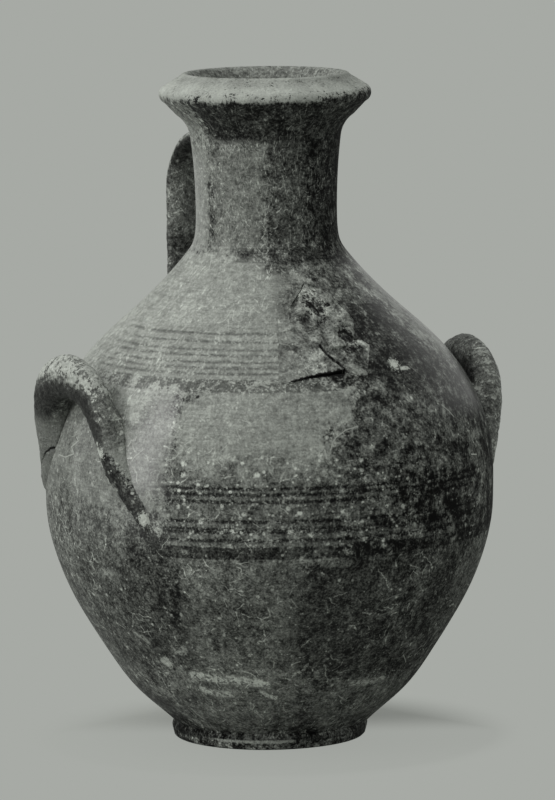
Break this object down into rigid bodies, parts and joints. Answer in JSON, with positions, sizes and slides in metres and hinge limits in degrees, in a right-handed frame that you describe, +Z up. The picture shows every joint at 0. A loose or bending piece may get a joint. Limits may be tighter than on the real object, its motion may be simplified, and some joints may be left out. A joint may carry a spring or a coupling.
{
  "type": "hydria jar",
  "caption": "Round-bodied ceramic water jar with a tall neck, a flaring mouth, arched side handles for lifting and an upright strap handle behind for pouring.",
  "frame": {"origin": "centre of the foot's resting plane, on the axis that the jar was thrown about", "axes": "+Z up along the jar's axis; +Y towards the upright back handle; the two side handles lie along -X and +X; -Y is the mended front"},
  "size_m": [0.2603, 0.2432, 0.361],
  "materials": {
    "burnished_clay": "dark burnished clay, worn and speckled, low gloss",
    "worn_clay": "dark clay under a pale worn crust on the upward faces",
    "handle_clay": "dark smoothed clay with pale worn patches",
    "sherd_clay": "dark burnished clay with chipped edges"
  },
  "bodies": {
    "root": {"foot": "burnished_clay", "lower_wall": "burnished_clay", "upper_wall": "burnished_clay", "neck": "burnished_clay", "mouth": "worn_clay", "back_handle": "handle_clay", "left_handle": "handle_clay", "left_handle_root": "handle_clay", "right_handle": "handle_clay", "left_sherd": "sherd_clay", "upper_sherd": "sherd_clay", "right_sherd": "sherd_clay"}
  },
  "joints": []
}
